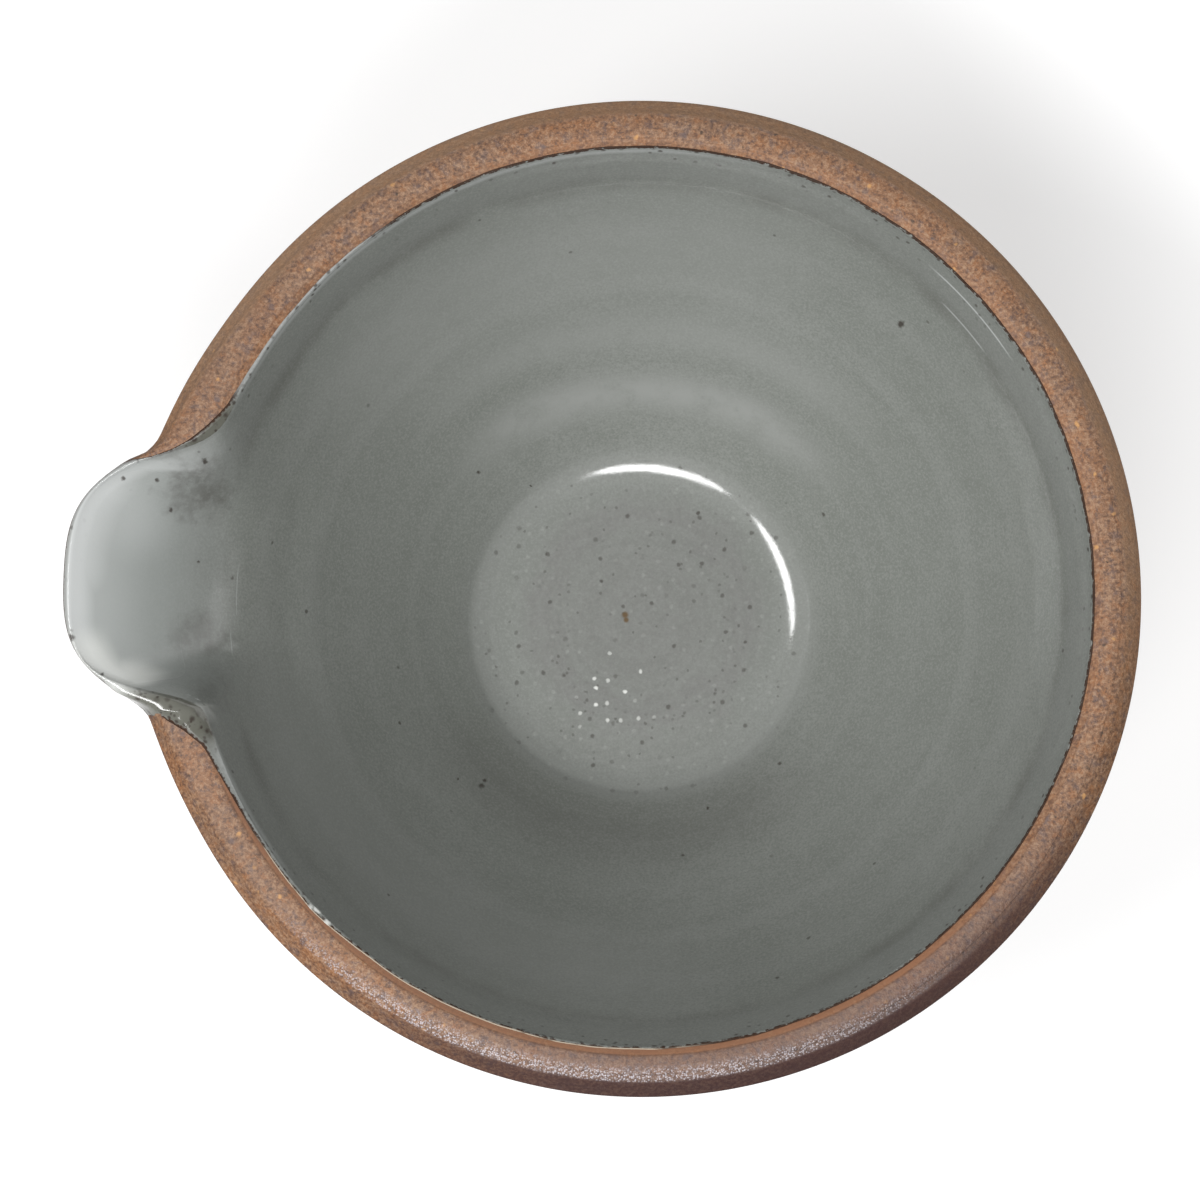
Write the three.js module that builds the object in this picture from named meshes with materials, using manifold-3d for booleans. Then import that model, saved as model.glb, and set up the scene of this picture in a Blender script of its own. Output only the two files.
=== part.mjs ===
// A spouted stoneware bowl, thrown on a wheel, with a glaze lining and one pulled pouring lip.
// Millimetres, +Z up. The foot stands on z = 0 and the lip points along -X.
import * as THREE from "three";
import { mergeVertices } from "three/addons/utils/BufferGeometryUtils.js";
import Module from "manifold-3d";

// Driving dimensions: the bowl's outside.
const rimRadius = 75;
const bowlHeight = 68;
const footHeight = 6;
const footOuterRadius = 34;
const footRingWidth = 5;
const footChamfer = 0.8;
const undersideRadius = 37.5;

// The inside: a flat well with a hollow corner, then one rising curve.
const floorThickness = 6;
const wellFlatRadius = 20.5;
const wellCornerWidth = 7;
const wellCornerRise = 2.2;
const wellCornerReach = 3.7;
const wallThickness = 7.5;
const lowerSwell = { radius: 42, height: 28 };
const upperSwell = { radius: 61.5, height: 45 };

// How far the outside's swell stands off the inside's, in wall thicknesses.
const outerLowerSwell = { outwards: 0.8, downwards: 1.5 };
const outerUpperSwell = { outwards: 0.9, downwards: 0 };

// The rim, from the glaze edge outwards: an inner bevel, a flat and an outer facet.
const rimBevelWidth = 1.2;
const rimBevelDrop = 1;
const rimFlatWidth = 3.9;
const rimFlatFall = 0.6;
const rimFacetWidth = 2.4;
const rimFacetDrop = 4;

// How far the rim reaches down to the thrown wall from the bowl's top.
const rimBandHeight = 8;

// The pouring lip: a part of the wall pulled out and a little down.
const lipReach = 12;
const lipSink = 2.5;
const lipHalfAngle = 24;
const frontThroat = { halfAngle: 13.5, power: 6 };
const backThroat = { halfAngle: 14.5, power: 4.2 };
const ridgeInsideShare = 0.8;

// The plan of the lip's outside: shares of the full pull, at even angles from the lip's middle.
const outlineStep = 3;
const frontOutline = [1, 0.995, 0.95, 0.806, 0.552, 0.178, 0.097, 0.065, 0];
const backOutline = [1, 0.995, 0.951, 0.819, 0.59, 0.247, 0.147, 0.118, 0];

// The lip's section, from its root in the wall to its edge.
const lipRootHeight = 38;
const lipEdgeWidth = 2.4;
const lipRidgeWidth = 1.8;
const lipUndercut = 3.5;
const lipEdgeSoftening = 0.5;
const lipInsideFlare = 2.8;
const lipOutsideFlare = 2.2;

// Glaze coats and the hairline that keeps each coat clear of the clay.
const wellGlazeThickness = 0.9;
const wallGlazeThickness = 0.6;
const lipGlazeThickness = 0.6;
const glazeEdgeThickness = 0.3;
const glazeHairline = 0.1;
const lipGlazeHalfAngle = 21;
const lipGlazeMargin = 0.07;

// Beside the lip the glaze draws back over the rim's flat, over these angles from the lip's middle.
const frontLapEnd = { angle: 21.5, fade: 6 };
const backLapEnd = { angle: 19.5, fade: 5.5 };
const leastLap = 0.05;

// Facet steps, in degrees and in stations along a curve.
const lipStep = 3;
const bodyStep = 6;
const wellCornerStations = 4;
const floorSideStations = 3;
const lowerInsideStations = 6;
const lowerOutsideStations = 5;
const upperInsideStations = 5;
const upperOutsideStations = 4;
const lipStations = 4;
const rimInsideStations = 4;
const rimOutsideStations = 3;

// Tolerances for merging corners and for finding a height on a curve.
const mergeTolerance = 1e-4;
const heightSearchPasses = 50;

// The origin is under the middle of the overall box, so the bowl's axis stands off it by half the reach.
const axisX = lipReach / 2;

const clay = { color: 0x96775f, roughness: 0.85, metalness: 0 };
const glaze = { color: 0x80837e, roughness: 0.25, metalness: 0 };

// Section curves, as pairs of radius (x) and height (y).
const undersideHeight = footHeight;
const floorTop = footHeight + floorThickness;
const rimRootHeight = bowlHeight - rimBandHeight;
const wellEdge = new THREE.Vector2(wellFlatRadius + wellCornerWidth, floorTop + wellCornerRise);
const rimInnerEdge = new THREE.Vector2(
  rimRadius - rimFacetWidth - rimFlatWidth - rimBevelWidth,
  bowlHeight - rimBevelDrop,
);
const rimRidge = new THREE.Vector2(rimInnerEdge.x + rimBevelWidth, bowlHeight);
const rimFlatEdge = new THREE.Vector2(rimRadius - rimFacetWidth, bowlHeight - rimFlatFall);
const rimOuterEdge = new THREE.Vector2(rimRadius, bowlHeight - rimFacetDrop);

function swellOutside(swell, { outwards, downwards }) {
  return new THREE.Vector2(
    swell.radius + wallThickness * outwards,
    swell.height - wallThickness * downwards,
  );
}

const wellCorner = new THREE.QuadraticBezierCurve(
  new THREE.Vector2(wellFlatRadius, floorTop),
  new THREE.Vector2(wellFlatRadius + wellCornerReach, floorTop),
  wellEdge,
);
const innerCurve = new THREE.CubicBezierCurve(
  wellEdge,
  new THREE.Vector2(lowerSwell.radius, lowerSwell.height),
  new THREE.Vector2(upperSwell.radius, upperSwell.height),
  rimInnerEdge,
);
const outerCurve = new THREE.CubicBezierCurve(
  new THREE.Vector2(undersideRadius, undersideHeight),
  swellOutside(lowerSwell, outerLowerSwell),
  swellOutside(upperSwell, outerUpperSwell),
  rimOuterEdge,
);

// How far a station on the inside or outside moves outwards at the middle of the lip.
const tipRadius = rimRadius + lipReach;
const edgePull = tipRadius - lipEdgeWidth - rimInnerEdge.x;
const ridgePull = tipRadius - lipRidgeWidth - rimRidge.x;
const flatPull = tipRadius - rimFlatEdge.x;
const outerPull = tipRadius - lipUndercut - rimOuterEdge.x;

function shareAboveRoot(height, top) {
  return THREE.MathUtils.clamp((height - lipRootHeight) / (top - lipRootHeight), 0, 1);
}

function sinkAt(height) {
  return lipSink * shareAboveRoot(height, bowlHeight) ** 2;
}

// A point of a section. Its inside share says how far it follows the inside of the lip.
function station(radius, height, pull = 0, insideShare = 0, softening = 0) {
  return { radius, height, pull, insideShare, sink: sinkAt(height) + softening };
}

function pointAtHeight(curve, height) {
  let low = 0;
  let high = 1;
  for (let pass = 0; pass < heightSearchPasses; pass += 1) {
    const middle = (low + high) / 2;
    if (curve.getPoint(middle).y < height) {
      low = middle;
    } else {
      high = middle;
    }
  }
  return { radius: curve.getPoint(high).x, tangent: curve.getTangent(high) };
}

function heightsBetween(bottom, top, count) {
  return Array.from({ length: count + 1 }, (_, index) => bottom + ((top - bottom) * index) / count);
}

// Inside stations, optionally lifted off the clay along the curve's normal.
function insideStations(heights, lift = () => 0) {
  return heights.map((height) => {
    const { radius, tangent } = pointAtHeight(innerCurve, height);
    const rise = shareAboveRoot(height, rimInnerEdge.y);
    const offset = lift(height);
    return {
      radius: radius - tangent.y * offset,
      height: height + tangent.x * offset,
      pull: edgePull * rise ** lipInsideFlare,
      insideShare: 1,
      sink: sinkAt(height),
    };
  });
}

function outsideStations(heights) {
  return heights.map((height) => {
    const rise = shareAboveRoot(height, rimOuterEdge.y);
    return station(pointAtHeight(outerCurve, height).radius, height, outerPull * rise ** lipOutsideFlare);
  });
}

// Columns: angles from the middle of the lip, positive towards the front.
function foldAngle(angle) {
  return angle > 180 ? angle - 360 : angle;
}

function stepsBetween(start, end, step) {
  const count = Math.round((end - start) / step);
  return Array.from({ length: count + 1 }, (_, index) => start + ((end - start) * index) / count);
}

const lipColumns = stepsBetween(-lipHalfAngle, lipHalfAngle, lipStep);
const bodyColumns = stepsBetween(lipHalfAngle, 360 - lipHalfAngle, bodyStep);
const ringColumns = [...lipColumns, ...bodyColumns.slice(1, -1)];
const lipGlazeColumns = lipColumns.filter((angle) => Math.abs(angle) <= lipGlazeHalfAngle);

// The lip's pull fades to nothing at the lip's ends, so that the wall's top stays flat beyond them.
function bump({ halfAngle, power }, angle) {
  if (Math.abs(angle) >= lipHalfAngle) {
    return 0;
  }
  return Math.exp(-((Math.abs(angle) / halfAngle) ** power));
}

function outlineShare(outline, angle) {
  const place = Math.abs(angle) / outlineStep;
  const index = Math.floor(place);
  if (index >= outline.length - 1) {
    return 0;
  }
  return THREE.MathUtils.lerp(outline[index], outline[index + 1], place - index);
}

// How much of a station's pull applies at an angle: the throat turns more sharply than the outside.
function pullShare(item, angle) {
  const folded = foldAngle(angle);
  const outside = outlineShare(folded > 0 ? frontOutline : backOutline, folded);
  const inside = bump(folded > 0 ? frontThroat : backThroat, folded);
  return THREE.MathUtils.lerp(outside, inside, item.insideShare);
}

function place(item, angle) {
  const share = pullShare(item, angle);
  const radius = item.radius + item.pull * share;
  const turn = THREE.MathUtils.degToRad(foldAngle(angle));
  return new THREE.Vector3(
    axisX - radius * Math.cos(turn),
    -radius * Math.sin(turn),
    item.height - item.sink * share,
  );
}

// Sweeps an outline, counter-clockwise in radius and height, through the columns.
// Every quad is split from its lower station to its higher one, so that pieces which face
// each other across the hairline are faceted alike.
function sweep(outlineAt, columns, closed) {
  const corners = [];
  const addTriangle = (a, b, c) => {
    if (a.equals(b) || b.equals(c) || c.equals(a)) {
      return;
    }
    corners.push(...a.toArray(), ...b.toArray(), ...c.toArray());
  };
  const spans = closed ? columns.length : columns.length - 1;
  for (let column = 0; column < spans; column += 1) {
    const here = columns[column];
    const next = columns[(column + 1) % columns.length];
    const hereOutline = outlineAt(here);
    const nextOutline = outlineAt(next);
    for (let index = 0; index < hereOutline.length; index += 1) {
      const after = (index + 1) % hereOutline.length;
      const a = place(hereOutline[index], here);
      const b = place(hereOutline[after], here);
      const c = place(nextOutline[after], next);
      const d = place(nextOutline[index], next);
      if (hereOutline[index].height <= hereOutline[after].height) {
        addTriangle(a, c, b);
        addTriangle(a, d, c);
      } else {
        addTriangle(a, d, b);
        addTriangle(d, c, b);
      }
    }
  }
  if (!closed) {
    const addCap = (angle, reversed) => {
      const outline = outlineAt(angle);
      const flat = outline.map((item) => {
        const share = pullShare(item, angle);
        return new THREE.Vector2(item.radius + item.pull * share, item.height - item.sink * share);
      });
      THREE.ShapeUtils.triangulateShape(flat, []).forEach(([first, second, third]) => {
        const points = [first, second, third].map((index) => place(outline[index], angle));
        addTriangle(points[0], points[reversed ? 2 : 1], points[reversed ? 1 : 2]);
      });
    };
    addCap(columns[0], false);
    addCap(columns[columns.length - 1], true);
  }
  const geometry = new THREE.BufferGeometry();
  geometry.setAttribute("position", new THREE.Float32BufferAttribute(corners, 3));
  return mergeVertices(geometry, mergeTolerance);
}

const sweepRing = (outline) => sweep(() => outline, ringColumns, true);
const sweepBody = (outline) => sweep(() => outline, bodyColumns, false);
const sweepLip = (outline) => sweep(() => outline, lipColumns, false);

// Joining two closed meshes.
const solids = await Module();
solids.setup();

function toSolid(geometry) {
  const mesh = new solids.Mesh({
    numProp: 3,
    vertProperties: new Float32Array(geometry.getAttribute("position").array),
    triVerts: new Uint32Array(geometry.getIndex().array),
  });
  return new solids.Manifold(mesh);
}

function join(first, second) {
  const mesh = toSolid(first).add(toSolid(second)).getMesh();
  const geometry = new THREE.BufferGeometry();
  geometry.setAttribute("position", new THREE.Float32BufferAttribute(mesh.vertProperties, 3));
  geometry.setIndex(Array.from(mesh.triVerts));
  return geometry;
}

// The turned foot: a low ring with both edges of its bottom face chamfered.
function footRing() {
  const inner = footOuterRadius - footRingWidth;
  return sweepRing([
    station(inner + footChamfer, 0),
    station(footOuterRadius - footChamfer, 0),
    station(footOuterRadius, footChamfer),
    station(footOuterRadius, footHeight),
    station(inner, footHeight),
    station(inner, footChamfer),
  ]);
}

// The thrown floor, with the well's hollow corner on top and the start of the outside below.
function floor() {
  const corner = wellCorner.getPoints(wellCornerStations).slice(1);
  const cornerStations = corner.map((point) => station(point.x, point.y));
  const outside = outsideStations(heightsBetween(undersideHeight, wellEdge.y, floorSideStations));
  return sweepRing([
    station(0, undersideHeight),
    ...outside,
    ...cornerStations.reverse(),
    station(wellFlatRadius, floorTop),
    station(0, floorTop),
  ]);
}

// The wall: a full ring below the lip's root, and an open arc beside the lip above it.
function wall() {
  const lowerInside = insideStations(heightsBetween(wellEdge.y, lipRootHeight, lowerInsideStations));
  const lowerOutside = outsideStations(heightsBetween(wellEdge.y, lipRootHeight, lowerOutsideStations));
  const upperInside = insideStations(heightsBetween(lipRootHeight, rimRootHeight, upperInsideStations));
  const upperOutside = outsideStations(heightsBetween(lipRootHeight, rimRootHeight, upperOutsideStations));
  return join(
    sweepRing([...lowerOutside, ...lowerInside.reverse()]),
    sweepBody([...upperOutside, ...upperInside.reverse()]),
  );
}

const rimTop = [
  station(rimFlatEdge.x, rimFlatEdge.y, flatPull, 0, lipEdgeSoftening),
  station(rimRidge.x, rimRidge.y, ridgePull, ridgeInsideShare, lipEdgeSoftening),
];

// The rim beside the lip, above the thrown wall.
function rim() {
  const inside = insideStations(heightsBetween(rimRootHeight, rimInnerEdge.y, rimInsideStations));
  const outside = outsideStations(heightsBetween(rimRootHeight, rimOuterEdge.y, rimOutsideStations));
  return sweepBody([...outside, ...rimTop, ...inside.reverse()]);
}

// The pulled lip, from its root in the wall to its thin edge.
function pouringLip() {
  const inside = [
    ...heightsBetween(lipRootHeight, rimRootHeight, lipStations).slice(0, -1),
    ...heightsBetween(rimRootHeight, rimInnerEdge.y, lipStations),
  ];
  const outside = [
    ...heightsBetween(lipRootHeight, rimRootHeight, lipStations).slice(0, -1),
    ...heightsBetween(rimRootHeight, rimOuterEdge.y, rimOutsideStations),
  ];
  return sweepLip([...outsideStations(outside), ...rimTop, ...insideStations(inside).reverse()]);
}

// The well's glaze and the wall's glaze meet on the level of the well's edge.
const glazeSeam = [
  station(wellEdge.x - glazeHairline, wellEdge.y),
  station(wellEdge.x - wellGlazeThickness, wellEdge.y),
];

// The glaze pool on the well's floor and in its corner.
function wellGlaze() {
  const corner = wellCorner.getPoints(wellCornerStations);
  const lifted = (offset) => corner.map((point, index) => {
    const tangent = wellCorner.getTangent(index / (corner.length - 1));
    return station(point.x - tangent.y * offset, point.y + tangent.x * offset);
  });
  const under = lifted(glazeHairline);
  const over = lifted(wellGlazeThickness);
  under[under.length - 1] = glazeSeam[0];
  over[over.length - 1] = glazeSeam[1];
  return sweepRing([
    station(0, floorTop + glazeHairline),
    ...under,
    ...over.reverse(),
    station(0, floorTop + wellGlazeThickness),
  ]);
}

// The glaze coat on the wall, thinning towards the bare rim.
function wallGlaze() {
  const heights = [
    ...heightsBetween(wellEdge.y, lipRootHeight, lowerInsideStations).slice(0, -1),
    ...heightsBetween(lipRootHeight, rimRootHeight, lipStations).slice(0, -1),
    ...heightsBetween(rimRootHeight, rimInnerEdge.y - glazeEdgeThickness, lipStations),
  ];
  const thinning = (height) => THREE.MathUtils.mapLinear(
    THREE.MathUtils.clamp(height, rimRootHeight, rimInnerEdge.y),
    rimRootHeight,
    rimInnerEdge.y,
    wallGlazeThickness,
    glazeEdgeThickness,
  );
  const under = insideStations(heights, () => glazeHairline);
  const over = insideStations(heights, thinning);
  [under[0], over[0]] = glazeSeam;
  return sweepRing([...under, ...over.reverse()]);
}

// How much of the rim's flat the glaze laps over beside the lip, from 0 to 1.
function lapShare(angle) {
  const { angle: end, fade } = angle > 0 ? frontLapEnd : backLapEnd;
  const share = THREE.MathUtils.clamp((end - Math.abs(angle)) / fade, 0, 1);
  return Math.max(leastLap, share);
}

// The glaze that runs out over the lip's edge.
function lipGlaze() {
  const raised = (item, inwards, upwards) => ({
    ...item,
    radius: item.radius - inwards,
    height: item.height + upwards,
  });
  const edge = station(rimInnerEdge.x, rimInnerEdge.y, edgePull, 1);
  const [flatEdge, ridge] = rimTop;
  const outlineAt = (angle) => {
    const share = lapShare(angle) * (1 - lipGlazeMargin);
    const end = {
      radius: THREE.MathUtils.lerp(ridge.radius, flatEdge.radius, share),
      height: THREE.MathUtils.lerp(ridge.height, flatEdge.height, share),
      pull: THREE.MathUtils.lerp(ridge.pull, flatEdge.pull, share),
      insideShare: THREE.MathUtils.lerp(ridge.insideShare, flatEdge.insideShare, share),
      sink: THREE.MathUtils.lerp(ridge.sink, flatEdge.sink, share),
    };
    return [
      raised(edge, lipGlazeThickness, glazeHairline),
      raised(edge, 0, glazeHairline),
      raised(ridge, 0, glazeHairline),
      raised(end, 0, glazeHairline),
      raised(end, 0, glazeEdgeThickness),
      raised(ridge, 0, lipGlazeThickness),
      raised(edge, lipGlazeThickness / 2, lipGlazeThickness),
    ];
  };
  return sweep(outlineAt, lipGlazeColumns, false);
}

const bowl = new THREE.Group();
bowl.name = "spouted_bowl";

function addPiece(name, geometry, finish) {
  const mesh = new THREE.Mesh(geometry, new THREE.MeshStandardMaterial(finish));
  mesh.name = name;
  bowl.add(mesh);
}

addPiece("foot_ring", footRing(), clay);
addPiece("floor", floor(), clay);
addPiece("wall", wall(), clay);
addPiece("rim", rim(), clay);
addPiece("pouring_lip", pouringLip(), clay);
addPiece("well_glaze", wellGlaze(), glaze);
addPiece("wall_glaze", wallGlaze(), glaze);
addPiece("lip_glaze", lipGlaze(), glaze);

export default bowl;
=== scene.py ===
"""Fine surfaces for a spouted stoneware bowl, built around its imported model."""

import math

import bpy
import numpy as np
from mathutils import Matrix, Vector


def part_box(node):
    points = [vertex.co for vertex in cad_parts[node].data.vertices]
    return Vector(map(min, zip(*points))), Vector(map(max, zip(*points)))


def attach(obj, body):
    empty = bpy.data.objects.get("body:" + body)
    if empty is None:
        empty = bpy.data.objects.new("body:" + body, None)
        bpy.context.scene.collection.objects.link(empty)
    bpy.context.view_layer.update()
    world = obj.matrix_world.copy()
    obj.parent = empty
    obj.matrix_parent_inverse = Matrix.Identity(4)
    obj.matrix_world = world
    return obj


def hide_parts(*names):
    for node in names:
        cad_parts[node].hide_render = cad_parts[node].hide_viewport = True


bl_info = {
    "name": "Spouted Stoneware Bowl",
    "version": (1, 0, 0),
    "blender": (4, 5, 0),
    "location": "View3D > Sidebar > Bowl",
    "description": "Builds the clay body, the glaze coat and the studio stage of a spouted bowl",
    "category": "Add Mesh",
}

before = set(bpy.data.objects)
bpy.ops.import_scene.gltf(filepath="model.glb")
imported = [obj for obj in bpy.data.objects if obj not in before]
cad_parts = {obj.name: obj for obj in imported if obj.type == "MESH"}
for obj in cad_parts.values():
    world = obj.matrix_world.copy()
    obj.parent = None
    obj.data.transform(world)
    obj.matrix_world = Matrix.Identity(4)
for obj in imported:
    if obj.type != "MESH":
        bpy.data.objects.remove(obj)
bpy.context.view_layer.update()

MM = 0.001

# Sizes read from the frame.
rim_low, rim_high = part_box("rim")
foot_low, foot_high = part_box("foot_ring")
floor_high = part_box("floor")[1]
lip_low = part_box("pouring_lip")[0]

RIM_RADIUS = (rim_high[1] - rim_low[1]) / 2
AXIS_X = rim_high[0] - RIM_RADIUS
BOWL_HEIGHT = rim_high[2]
FOOT_RADIUS = (foot_high[1] - foot_low[1]) / 2
FOOT_HEIGHT = foot_high[2]
LIP_ROOT_HEIGHT = lip_low[2]
TIP_RADIUS = AXIS_X - lip_low[0]
WELL_EDGE_HEIGHT = floor_high[2]


# Property groups.
class BowlSizes(bpy.types.PropertyGroup):
    """Sizes of the section that the frame's boxes don't give."""

    floor_thickness: bpy.props.FloatProperty(
        name="Floor thickness", description="Clay between the well and the underside",
        default=6 * MM, unit="LENGTH")
    foot_ring_width: bpy.props.FloatProperty(
        name="Foot ring width", description="Width of the turned foot ring",
        default=5 * MM, unit="LENGTH")
    underside_radius: bpy.props.FloatProperty(
        name="Underside radius", description="Where the outside starts to rise",
        default=37.5 * MM, unit="LENGTH")
    well_flat_radius: bpy.props.FloatProperty(
        name="Well flat radius", description="Radius of the flat floor inside",
        default=20.5 * MM, unit="LENGTH")
    well_corner_width: bpy.props.FloatProperty(
        name="Well corner width", description="Width of the well's hollow corner",
        default=7 * MM, unit="LENGTH")
    well_corner_reach: bpy.props.FloatProperty(
        name="Well corner reach", description="How far the hollow corner stays low",
        default=3.7 * MM, unit="LENGTH")
    wall_thickness: bpy.props.FloatProperty(
        name="Wall thickness", description="Thickness of the thrown wall",
        default=7.5 * MM, unit="LENGTH")
    rim_bevel: bpy.props.FloatVectorProperty(
        name="Rim bevel", description="Width and drop of the rim's inner bevel",
        default=(1.2 * MM, 1.0 * MM), size=2, unit="LENGTH")
    rim_flat: bpy.props.FloatVectorProperty(
        name="Rim flat", description="Width and fall of the rim's flat",
        default=(3.9 * MM, 0.6 * MM), size=2, unit="LENGTH")
    rim_facet: bpy.props.FloatVectorProperty(
        name="Rim facet", description="Width and drop of the rim's outer facet",
        default=(2.4 * MM, 4.0 * MM), size=2, unit="LENGTH")
    lip_sink: bpy.props.FloatProperty(
        name="Lip sink", description="How far the lip's tip falls below the rim",
        default=2.5 * MM, unit="LENGTH")
    glaze_thickness: bpy.props.FloatProperty(
        name="Glaze thickness", description="Thickness of the glaze coat on the wall",
        default=0.6 * MM, unit="LENGTH")
    pool_thickness: bpy.props.FloatProperty(
        name="Pool thickness", description="Thickness of the glaze on the floor",
        default=0.9 * MM, unit="LENGTH")


def colour_property(name, description, value):
    return bpy.props.FloatVectorProperty(
        name=name, description=description, default=value, size=3, subtype="COLOR", min=0, max=1)


class BowlColours(bpy.types.PropertyGroup):
    """Colours of clay and glaze, as linear values."""

    clay: colour_property("Clay", "Fired clay between its grains", (0.218, 0.122, 0.073))
    clay_orange: colour_property("Orange clay", "Warm blotches", (0.285, 0.124, 0.051))
    clay_slate: colour_property("Slate clay", "Purple-grey blotches", (0.125, 0.088, 0.082))
    clay_dark: colour_property("Dark clay", "Iron-stained grains", (0.070, 0.042, 0.034))
    # Also painted as light on the back of the facet.
    pale_clay_and_painted_light: colour_property("Light clay", "Pale grog grains", (0.380, 0.245, 0.155))
    clay_spot: colour_property("Clay spots", "Small orange-cream spots", (0.560, 0.300, 0.115))
    bevel: colour_property("Bevel", "The smooth band beside the glaze", (0.265, 0.124, 0.066))
    facet: colour_property("Facet", "The dark band along the front", (0.055, 0.0295, 0.0275))
    glaze: colour_property("Glaze", "Grey-green glaze", (0.174, 0.184, 0.168))
    # Also painted as light and reflections on the wall.
    glaze_pale_and_painted_light: colour_property("Pale glaze", "Glaze where it pools or clouds", (0.245, 0.253, 0.240))
    glaze_deep: colour_property("Deep glaze", "Glaze between the clouds", (0.145, 0.154, 0.139))
    glaze_dull: colour_property("Dull glaze", "Duller glaze near the rim", (0.145, 0.147, 0.142))
    glaze_lip: colour_property("Lip glaze", "Pale glaze in the lip", (0.240, 0.256, 0.246))
    # Also painted as highlights beside the glaze's edge and as thin highlight lines.
    lip_edge_and_painted_highlight: colour_property("Lip edge", "Paler glaze towards the lip's edge", (0.450, 0.463, 0.458))
    glaze_thin: colour_property("Shoulder glaze", "Speckled glaze on the shoulders", (0.088, 0.087, 0.069))
    # Also painted as shade on the wall, in the well and in the throat's corners.
    iron_and_painted_shade: colour_property("Iron", "Iron specks", (0.035, 0.027, 0.022))
    edge_brown: colour_property("Brown edge", "Where the glaze breaks at its edge", (0.034, 0.015, 0.008))
    cream: colour_property("Cream edge", "Pale edge and chips at the front left", (0.400, 0.340, 0.270))
    # Painted glints: pale specks that stand in for highlights on the rim's front.
    painted_glints: colour_property("Glassy grains", "Pale grains on the rim's front", (0.620, 0.590, 0.640))
    # Also painted as light along the throat's front edge.
    fleck_and_painted_light: colour_property("Flecks", "White flecks in the well", (0.620, 0.630, 0.600))
    rust: colour_property("Rust spot", "The spot in the well's middle", (0.105, 0.060, 0.020))
    mauve: colour_property("Mauve", "The well's middle, where iron shows through", (0.148, 0.139, 0.138))


class StageSettings(bpy.types.PropertyGroup):
    """Camera and lamps."""

    camera_distance: bpy.props.FloatProperty(
        name="Camera distance", description="From the camera to the middle of the rim's plane",
        default=0.9, unit="LENGTH")
    frame_width: bpy.props.FloatProperty(
        name="Frame width", description="Width that the picture spans at the rim's plane",
        default=0.179, unit="LENGTH")
    frame_offset: bpy.props.FloatVectorProperty(
        name="Frame offset", description="The picture's middle, right and up from the bowl's middle",
        default=(-0.34 * MM, -1.11 * MM), size=2, unit="LENGTH")
    camera_tilt: bpy.props.FloatProperty(
        name="Camera tilt", description="Angle of the view off straight down, towards the front",
        default=math.radians(4.4), subtype="ANGLE")
    camera_turn: bpy.props.FloatProperty(
        name="Camera turn", description="Turn of the picture against the bowl",
        default=math.radians(2.2), subtype="ANGLE")
    lamp_distance: bpy.props.FloatProperty(
        name="Lamp distance", description="From the bowl to each soft box", default=1.3, unit="LENGTH")
    lamp_height: bpy.props.FloatProperty(
        name="Lamp height", description="Angle of each soft box above the floor",
        default=math.radians(57), subtype="ANGLE")
    front_size: bpy.props.FloatVectorProperty(
        name="Front lamp size", description="Width and height of the front soft box",
        default=(0.78, 0.26), size=2, unit="LENGTH")
    left_size: bpy.props.FloatVectorProperty(
        name="Left lamp size", description="Width and height of the left soft box",
        default=(0.63, 0.26), size=2, unit="LENGTH")
    front_direction: bpy.props.FloatProperty(
        name="Front lamp direction", description="Where the front soft box stands",
        default=math.radians(-95), subtype="ANGLE")
    front_power: bpy.props.FloatProperty(
        name="Front lamp", description="Power of the front soft box", default=11.5, unit="POWER")
    left_direction: bpy.props.FloatProperty(
        name="Left lamp direction", description="Where the left soft box stands",
        default=math.radians(194.5), subtype="ANGLE")
    left_power: bpy.props.FloatProperty(
        name="Left lamp", description="Power of the left soft box", default=9.9, unit="POWER")
    window_direction: bpy.props.FloatProperty(
        name="Window direction", description="Where the low window stands",
        default=math.radians(52), subtype="ANGLE")
    window_height: bpy.props.FloatProperty(
        name="Window height", description="Angle of the low window above the floor",
        default=math.radians(17), subtype="ANGLE")
    window_size: bpy.props.FloatVectorProperty(
        name="Window size", description="Width and height of the low window",
        default=(2.85, 0.52), size=2, unit="LENGTH")
    window_power: bpy.props.FloatProperty(
        name="Window", description="Power of the low window", default=5.0, unit="POWER")
    sky: bpy.props.FloatProperty(
        name="Sky", description="Strength of the even room light", default=0.30)
    paper: bpy.props.FloatProperty(
        name="Paper", description="How pale the floor is", default=0.48)
    paper_glow: bpy.props.FloatProperty(
        name="Paper glow", description="What the floor's white adds where it is seen", default=0.56)


# The section, as rows of radius, height, pull at the lip, sink at the lip and inside share.
# The inside share says how far a row follows the inside of the lip.
def bezier(points, shares):
    """Points of a Bezier curve of any degree."""
    layers = [np.outer(np.ones(len(shares)), np.asarray(point, float)) for point in points]
    share = np.asarray(shares, float)[:, None]
    while len(layers) > 1:
        layers = [a + (b - a) * share for a, b in zip(layers, layers[1:])]
    return layers[0]


def smooth_step(value, low, high):
    share = np.clip((np.asarray(value, float) - low) / (high - low), 0, 1)
    return share * share * (3 - 2 * share)


def above_root(height, top):
    return np.clip((height - LIP_ROOT_HEIGHT) / (top - LIP_ROOT_HEIGHT), 0, 1)


def rows(points, pull, sizes, inside=0.0, softening=0.0):
    """Adds pull, sink and inside share columns to points of radius and height."""
    points = np.atleast_2d(np.asarray(points, float))
    sink = sizes.lip_sink * above_root(points[:, 1], BOWL_HEIGHT) ** 2 + softening
    columns = [np.broadcast_to(column, len(points)) for column in (pull, sink, inside)]
    return np.column_stack([points, *columns])


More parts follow.
